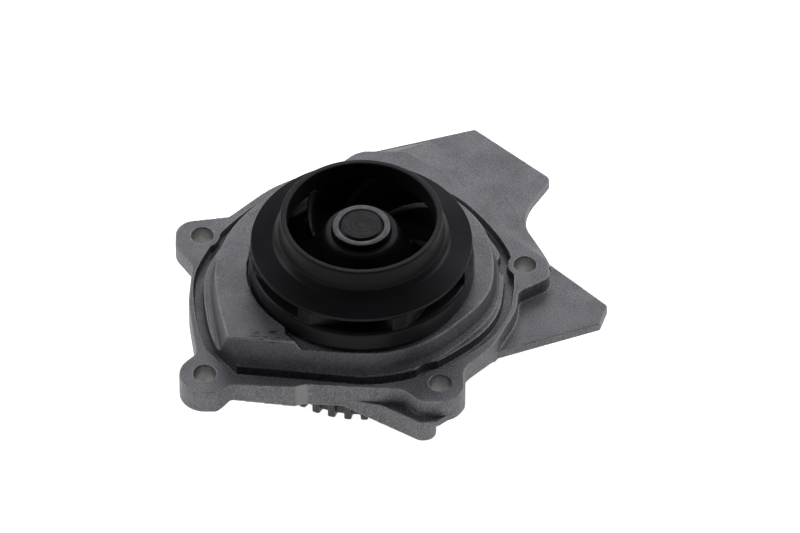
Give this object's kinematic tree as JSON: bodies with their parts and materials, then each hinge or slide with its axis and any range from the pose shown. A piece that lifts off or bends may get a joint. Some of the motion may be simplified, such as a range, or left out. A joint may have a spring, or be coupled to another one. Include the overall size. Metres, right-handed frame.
{
  "type": "automotive water pump",
  "caption": "Automotive coolant pump: cast housing with an eared flange and wing plate, closed black impeller on a bearing shaft, toothed belt pulley below.",
  "frame": {"origin": "where the pump's axis crosses the machined mounting face", "axes": "+Z along the pump's axis towards the impeller and the engine, +X towards the wing plate"},
  "size_m": [0.1304, 0.1242, 0.0545],
  "materials": {
    "cast_housing": "die-cast, satin",
    "impeller_plastic": "moulded, satin",
    "bushing_steel": "turned",
    "shaft_steel": "ground and face-turned",
    "bearing_steel": "ground",
    "ball_steel": "polished",
    "cage_plastic": "moulded",
    "seal_rubber": "moulded",
    "seal_sheet_steel": "drawn sheet",
    "spring_steel": "drawn wire",
    "carbon": "lapped graphite",
    "hard_seat": "lapped silicon carbide",
    "pulley_sinter": "sintered, oiled"
  },
  "bodies": {
    "housing": {"housing": "cast_housing", "bearing_outer_ring": "bearing_steel", "upper_bearing_seal": "seal_rubber", "lower_bearing_seal": "seal_rubber", "seal_casing": "seal_sheet_steel", "seal_bellows": "seal_rubber", "seal_spring": "spring_steel", "seal_spring_collar": "seal_sheet_steel", "seal_carbon_ring": "carbon"},
    "rotor": {"shaft": "shaft_steel", "impeller_base": "impeller_plastic", "impeller_shroud": "impeller_plastic", "impeller_bushing": "bushing_steel", "toothed_pulley": "pulley_sinter", "seal_sleeve": "seal_sheet_steel", "seal_seat_ring": "hard_seat", "seal_seat_cup": "seal_rubber"},
    "upper_row": {"upper_balls": "ball_steel", "upper_cage": "cage_plastic"},
    "lower_row": {"lower_balls": "ball_steel", "lower_cage": "cage_plastic"}
  },
  "joints": [
    {"name": "shaft_spin", "type": "hinge", "parent": "housing", "child": "rotor", "pos_m": [0, 0, 0], "axis": [0, 0, 1], "continuous": true},
    {"name": "upper_cage_spin", "type": "hinge", "parent": "housing", "child": "upper_row", "pos_m": [0, 0, -0.0067], "axis": [0, 0, 1], "continuous": true},
    {"name": "lower_cage_spin", "type": "hinge", "parent": "housing", "child": "lower_row", "pos_m": [0, 0, -0.0138], "axis": [0, 0, 1], "continuous": true}
  ],
  "couplings": [
    {"joint": "upper_cage_spin", "follows": "shaft_spin", "ratio": 0.3645},
    {"joint": "lower_cage_spin", "follows": "shaft_spin", "ratio": 0.3645}
  ]
}
